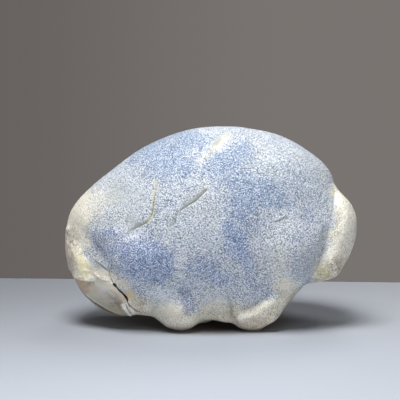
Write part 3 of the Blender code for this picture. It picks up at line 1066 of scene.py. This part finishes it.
def grain(size, detail=2.0):
    """Noise from 0 to 1 with lumps of the given size in millimetres."""
    return new_node("TexNoise", {"Vector": here, "Scale": 1 / (size * MM), "Detail": detail}).outputs["Fac"]


def ramp(value, low, high, bottom=0.0, top=1.0):
    """bottom where the value is low, top where it is high, and a smooth way between."""
    span = {"Value": value, "From Min": low, "From Max": high, "To Min": bottom, "To Max": top}
    return new_node("MapRange", span, interpolation_type="SMOOTHSTEP").outputs["Result"]


def combine(kind, a, b=0.0):
    """The two values combined by a Math node of that kind. A sum stays between 0 and 1."""
    return new_node("Math", {0: a, 1: b}, operation=kind, use_clamp=kind == "ADD").outputs["Value"]


def times(a, b):
    return combine("MULTIPLY", a, b)


def stronger(a, b):
    return combine("MAXIMUM", a, b)


def blend(a, b, share, kind="MIX"):
    """Colour a where the share is 0 and b where it is 1, or a times b with the kind MULTIPLY."""
    node = new_node("Mix", {"Factor": share}, data_type="RGBA", blend_type=kind)
    first, second = [socket for socket in node.inputs if socket.type == "RGBA"]
    feed(first, a)
    feed(second, b)
    return next(socket for socket in node.outputs if socket.type == "RGBA")


def painted(name):
    """The mask of that name."""
    return new_node("Attribute", {}, attribute_name=name).outputs["Fac"]


here = place_on_the_object()
print("the grain is placed by:", here.name)

# %% [markdown]
# The ground is mixed first: pale and deep blues, which are more violet low down, then the opal, the clear
# parts, the white with its painted highlights and the brown with its painted shade. Lumps and crumbs of
# noise break up the masks' soft edges, because a boundary between two kinds of quartz is never as smooth
# as a brush leaves it.

# %% Mix the ground colours
PALE = (0.355, 0.42, 0.49, 1)
PALE_LILAC = (0.405, 0.42, 0.485, 1)
PALE_GREEN = (0.40, 0.435, 0.425, 1)
STEEL_BLUE = (0.18, 0.295, 0.46, 1)
DEEP_BLUE = (0.188, 0.305, 0.54, 1)
LAVENDER = (0.26, 0.335, 0.58, 1)
CREAM = (0.94, 0.90, 0.74, 1)
GREY_GREEN = (0.53, 0.56, 0.53, 1)
WHITE = (0.83, 0.87, 0.93, 1)
WARM_WHITE = (0.97, 0.94, 0.84, 1)
CLEAR_BROWN = (0.65, 0.61, 0.49, 1)
DARK_BROWN_AND_SHADE = (0.27, 0.215, 0.13, 1)
LILAC = (0.40, 0.375, 0.40, 1)
LUMP = 8.0  # sizes of the noise, in millimetres
CRUMB = 2.2
LAVENDER_CLOUD = 3.2
LILAC_CLOUD = 6.0
GREEN_CLOUD = 10.0
PALEST_ABOVE = 68  # heights in millimetres
DEEPEST_BELOW = 34

lumps = grain(LUMP, detail=3.0)
crumbs = grain(CRUMB)
cloudy_blue = combine("ADD", painted("blue"), ramp(lumps, 0.3, 0.7, -0.11, 0.11))
cloudy_blue = combine("ADD", cloudy_blue, ramp(crumbs, 0.3, 0.7, -0.17, 0.17))
cloudy_blue = ramp(cloudy_blue, 0.08, 0.92)
frayed = ramp(crumbs, 0.25, 0.5, 0.8, 1.0)
cream = ramp(times(painted("cream"), frayed), 0.0, 0.8)
clear = times(painted("clear"), frayed)
white_and_highlight = times(painted("white_and_highlight"), frayed)
low_down = ramp(along_the_axes()["Z"], PALEST_ABOVE * MM, DEEPEST_BELOW * MM, 0.15, 1.0)
white_colour = blend(WHITE, WARM_WHITE, cream)

deep = blend(STEEL_BLUE, DEEP_BLUE, low_down)
deep = blend(deep, LAVENDER, times(ramp(grain(LAVENDER_CLOUD), 0.42, 0.62), low_down))
pale = blend(PALE, PALE_LILAC, times(ramp(grain(LILAC_CLOUD), 0.45, 0.62), low_down))
pale = blend(pale, PALE_GREEN, ramp(grain(GREEN_CLOUD), 0.48, 0.62))
ground = blend(pale, deep, cloudy_blue)
ground = blend(ground, CREAM, cream)
ground = blend(ground, blend(CLEAR_BROWN, LILAC, cloudy_blue), painted("glass"))
ground = blend(ground, GREY_GREEN, clear)
ground = blend(ground, white_colour, white_and_highlight)
ground = blend(ground, DARK_BROWN_AND_SHADE, times(painted("brown_and_shade"), ramp(crumbs, 0.25, 0.6, 0.6, 1.0)))
print("the ground takes", len(nodes), "nodes")

# %% [markdown]
# The sugary grain lies over the ground: dark gaps, white flecks, short white threads and round specks,
# all less than a millimetre across. It is strong in the blue and weak in the smooth and glassy parts. A
# gap multiplies the colour around it, so it stays a shade of that colour.

# %% Lay the grain over the ground
GAP_SHADE = (0.15, 0.21, 0.34, 1)  # what a gap keeps of the colour around it
PALE_GAP_SHADE = (0.28, 0.315, 0.40, 1)
WARM_GAP_SHADE = (0.50, 0.47, 0.42, 1)
SUGAR = 0.46  # sizes of the noise, in millimetres
THREAD = 0.62
SPECK = 0.9
GAP_RAMP = (0.475, 0.42)  # where in the noise a gap, a fleck, a thread and a speck start and are full
FLECK_RAMP = (0.546, 0.572)
THREAD_RAMP = (0.036, 0.012)
SPECK_RAMP = (0.24, 0.14)

smooth = stronger(times(cream, 0.2), times(clear, 0.75))
smooth = stronger(smooth, times(white_and_highlight, 0.1))
smooth = stronger(smooth, times(painted("glass"), 0.85))
grainy = ramp(smooth, 0.0, 1.0, 1.0, 0.0)

sugar = grain(SUGAR, detail=1.0)
gaps = times(ramp(sugar, *GAP_RAMP), grainy)
shade = blend(blend(PALE_GAP_SHADE, GAP_SHADE, cloudy_blue), WARM_GAP_SHADE, cream)
colour = blend(ground, blend(ground, shade, 1.0, "MULTIPLY"), gaps)

fewer_in_the_blue = ramp(cloudy_blue, 0.0, 1.0, 0.047, -0.023)
flecks = ramp(combine("ADD", sugar, fewer_in_the_blue), *FLECK_RAMP)
off_the_thread = combine("ABSOLUTE", combine("SUBTRACT", grain(THREAD, detail=0.0), 0.5))
flecks = stronger(flecks, times(ramp(off_the_thread, *THREAD_RAMP), 0.8))
specks = new_node("TexVoronoi", {"Vector": here, "Scale": 1 / (SPECK * MM)}).outputs["Distance"]
flecks = stronger(flecks, ramp(specks, *SPECK_RAMP))
colour = blend(colour, white_colour, times(flecks, times(grainy, 0.95)))
print("with the grain it takes", len(nodes), "nodes")

# %% [markdown]
# Stains and dirt came after the polish, so they go over the grain. Crumbs break each of them up. The
# brown and the dirt also carry painted shade, and the black is the painted shadow inside the open crack.

# %% Lay the stains, the dirt and the painted shade over the grain
YELLOW = (0.80, 0.73, 0.38, 1)
PEACH = (0.70, 0.50, 0.38, 1)
DIRT_AND_SHADE = (0.045, 0.05, 0.04, 1)
CRACK_SHADOW_BLACK = (0.008, 0.006, 0.004, 1)

colour = blend(colour, DARK_BROWN_AND_SHADE, times(painted("brown_and_shade"), ramp(crumbs, 0.50, 0.60, 0.0, 0.6)))
colour = blend(colour, PEACH, times(painted("peach"), ramp(crumbs, 0.35, 0.55, 0.45, 0.9)))
colour = blend(colour, YELLOW, times(painted("rust"), ramp(crumbs, 0.3, 0.6, 0.35, 0.85)))
colour = blend(colour, DIRT_AND_SHADE, times(painted("dirt_and_shade"), ramp(crumbs, 0.32, 0.5, 0.45, 1.0)))
colour = blend(colour, CRACK_SHADOW_BLACK, painted("crack_shadow"))
feed(satin.inputs["Base Color"], colour)
print("with the stains it takes", len(nodes), "nodes")

# %% [markdown]
# The polish is satin. It shines in a broad soft band, the clear parts shine more tightly, and a fine bump
# scatters it. Quartz is a little clear, so some light goes in and comes out again near by.

# %% Polish the stone
PIT_DEPTH = 0.08 * MM
GRAINY_ROUGHNESS = 0.60
CLEAR_ROUGHNESS = 0.27

pitting = new_node("Bump", {"Height": sugar, "Strength": 0.6, "Distance": PIT_DEPTH})
SATIN = {
    "IOR": 1.54,
    "Specular IOR Level": 0.42,
    "Subsurface Weight": 0.15,
    "Subsurface Radius": (1.0, 1.1, 1.4),
    "Subsurface Scale": 1.5 * MM,
    "Roughness": ramp(smooth, 0.1, 0.6, GRAINY_ROUGHNESS, CLEAR_ROUGHNESS),
    "Normal": pitting.outputs["Normal"],
}
for name, value in SATIN.items():
    feed(satin.inputs[name], value)

stone.data.materials.append(chalcedony)
stone.data.shade_smooth()
print("the material has", len(nodes), "nodes")

# %% [markdown]
# ## The table and the wall
#
# The studio is plain: a pale blue-grey table top and a dim, warm grey wall that goes all the way round. The
# table top bends down behind the stone, slightly aslant, so that the wall shows above its edge from the
# front while there is still table under the stone's far side. The table's paint is darker towards the back
# and the left: painted shade, in place of the fall-off of a lamp above its front edge. A dark oval of
# painted shadow lies hidden right under the stone; it darkens the shadow there and keeps the table from
# throwing light up at its belly.

# %% Build the table
TABLE_HALF_WIDTH = 2.0
TABLE_FRONT = -2.0
TABLE_BACK = 2.0
TABLE_BEND = 0.1065
TABLE_SKEW = -0.059  # how far back the bend shifts for each metre to the right
TABLE_FALL = math.tan(math.radians(13))
TABLE_ROUGHNESS = 0.6
TABLE_COLOUR = (0.535, 0.575, 0.645, 1)
TABLE_BACK_PAINTED_SHADE = (0.355, 0.372, 0.408, 1)
TABLE_LEFT_PAINTED_SHADE = (0.225, 0.238, 0.27, 1)
TOWARDS_BACK = (-0.20, 0.16)  # where the paint starts to change and where it has changed
TOWARDS_LEFT = (0.16, -0.20)
PAINTED_SHADOW_COLOUR = (0.12, 0.11, 0.10, 1)
PAINTED_SHADOW_HALF_LENGTH = 0.050
PAINTED_SHADOW_HALF_WIDTH = 0.042
PAINTED_SHADOW_MIDDLE = 0.006


def stage_piece(name, corners, faces, material):
    """A piece of the studio, which isn't part of the stone."""
    mesh = bpy.data.meshes.new(name)
    mesh.from_pydata(corners, [], faces)
    mesh.materials.append(material)
    piece = bpy.data.objects.new(name, mesh)
    bpy.context.scene.collection.objects.link(piece)


table_paint = start_material("table_paint")
table_shader = nodes["Principled BSDF"]
feed(table_shader.inputs["Roughness"], TABLE_ROUGHNESS)
where = along_the_axes()
towards_back = ramp(where["Y"], *TOWARDS_BACK)
# painted shade: the table darkens towards the back and the left
colour = blend(TABLE_COLOUR, TABLE_BACK_PAINTED_SHADE, towards_back)
colour = blend(colour, TABLE_LEFT_PAINTED_SHADE, times(towards_back, ramp(where["X"], *TOWARDS_LEFT)))
# painted shadow: a dark oval on the table right under the stone
long_way = combine("DIVIDE", where["X"], PAINTED_SHADOW_HALF_LENGTH)
short_way = combine("DIVIDE", combine("SUBTRACT", where["Y"], PAINTED_SHADOW_MIDDLE), PAINTED_SHADOW_HALF_WIDTH)
off_the_painted_shadow = combine("ADD", combine("POWER", long_way, 2), combine("POWER", short_way, 2))
colour = blend(colour, PAINTED_SHADOW_COLOUR, ramp(off_the_painted_shadow, 1.0, 0.25))
feed(table_shader.inputs["Base Color"], colour)

corners = []
for x in (-TABLE_HALF_WIDTH, TABLE_HALF_WIDTH):
    bend = TABLE_BEND + TABLE_SKEW * x
    corners += [(x, TABLE_FRONT, 0), (x, bend, 0), (x, TABLE_BACK, -(TABLE_BACK - bend) * TABLE_FALL)]
stage_piece("table", corners, [(0, 3, 4, 1), (1, 4, 5, 2)], table_paint)
print("the table bends", TABLE_BEND, "m behind the stone's middle")

# %% [markdown]
# The wall glows by itself, so that its grey can be set without a lamp. Its glow is painted light: it is
# brighter towards the right, and it lights the stone a little from all round.

# %% Build the wall
WALL_RADIUS = 1.6
WALL_FROM, WALL_TO = -0.7, 0.5
WALL_SIDES = 64
WALL_LEFT_GLOW = (0.137, 0.124, 0.117, 1)
WALL_RIGHT_GLOW = (0.190, 0.175, 0.163, 1)
TOWARDS_RIGHT = (-0.34, 0.16)

wall_glow = start_material("wall_glow")
nodes.remove(nodes["Principled BSDF"])
towards_right = ramp(along_the_axes()["X"], *TOWARDS_RIGHT)
glow = new_node("Emission", {"Color": blend(WALL_LEFT_GLOW, WALL_RIGHT_GLOW, towards_right)})
feed(nodes["Material Output"].inputs["Surface"], glow.outputs["Emission"])

angles = [2 * math.pi * side / WALL_SIDES for side in range(WALL_SIDES)]
corners = [
    (WALL_RADIUS * math.cos(a), WALL_RADIUS * math.sin(a), z) for z in (WALL_FROM, WALL_TO) for a in angles
]
after = [(side + 1) % WALL_SIDES for side in range(WALL_SIDES)]
faces = [(side, after[side], WALL_SIDES + after[side], WALL_SIDES + side) for side in range(WALL_SIDES)]
stage_piece("wall", corners, faces, wall_glow)
print("the wall has", len(faces), "sides")

# %% [markdown]
# ## The light
#
# A softbox hangs over the stone, a little to the front and the left. It gives the bright crown and the
# dark, soft shadow. A lamp high at the back thins the shadow's far edge. A front lamp on the right and a
# low one beside the camera open up the front. A small lamp far behind, lower than the table top, lights
# the stone's back over the edge where the table bends, and leaves the table dark. The room's own air gives
# almost nothing, and the table under the belly is painted with a dark shadow, so the shadow under the belly
# stays nearly black.

# %% Hang the lights
LAMPS = {  # place, what it points at, width in metres and watts
    "softbox": ((-0.08, -0.23, 0.765), (0, -0.02, 0.03), 0.34, 7.25),
    "high back lamp": ((0.15, 0.42, 0.68), (0, 0, 0.02), 0.35, 1.4),
    "back lamp": ((0.0, 0.7, -0.03), (0, 0, 0.05), 0.08, 0.9),
    "front lamp": ((0.5, -1.1, 0.25), (0, 0, 0.04), 0.5, 1.0),
    "low lamp": ((-0.12, -1.2, 0.08), (0, 0, 0.04), 0.14, 1.7),
}
ROOM_COLOUR = (0.005, 0.005, 0.005, 1)

for name, (place, aim, width, watts) in LAMPS.items():
    light = bpy.data.lights.new(name, "AREA")
    light.size = width
    light.energy = watts
    lamp = bpy.data.objects.new(name, light)
    lamp.location = place
    lamp.rotation_euler = (Vector(aim) - Vector(place)).to_track_quat("-Z", "Y").to_euler()
    bpy.context.scene.collection.objects.link(lamp)

room = bpy.data.worlds.new("room")
room.use_nodes = True
room.node_tree.nodes["Background"].inputs["Color"].default_value = ROOM_COLOUR
bpy.context.scene.world = room
bpy.context.scene.view_settings.view_transform = "Standard"
print(len(LAMPS), "lamps are lit")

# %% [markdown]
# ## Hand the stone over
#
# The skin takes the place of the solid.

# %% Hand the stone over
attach(stone, "root")
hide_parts("chalcedony_stone")
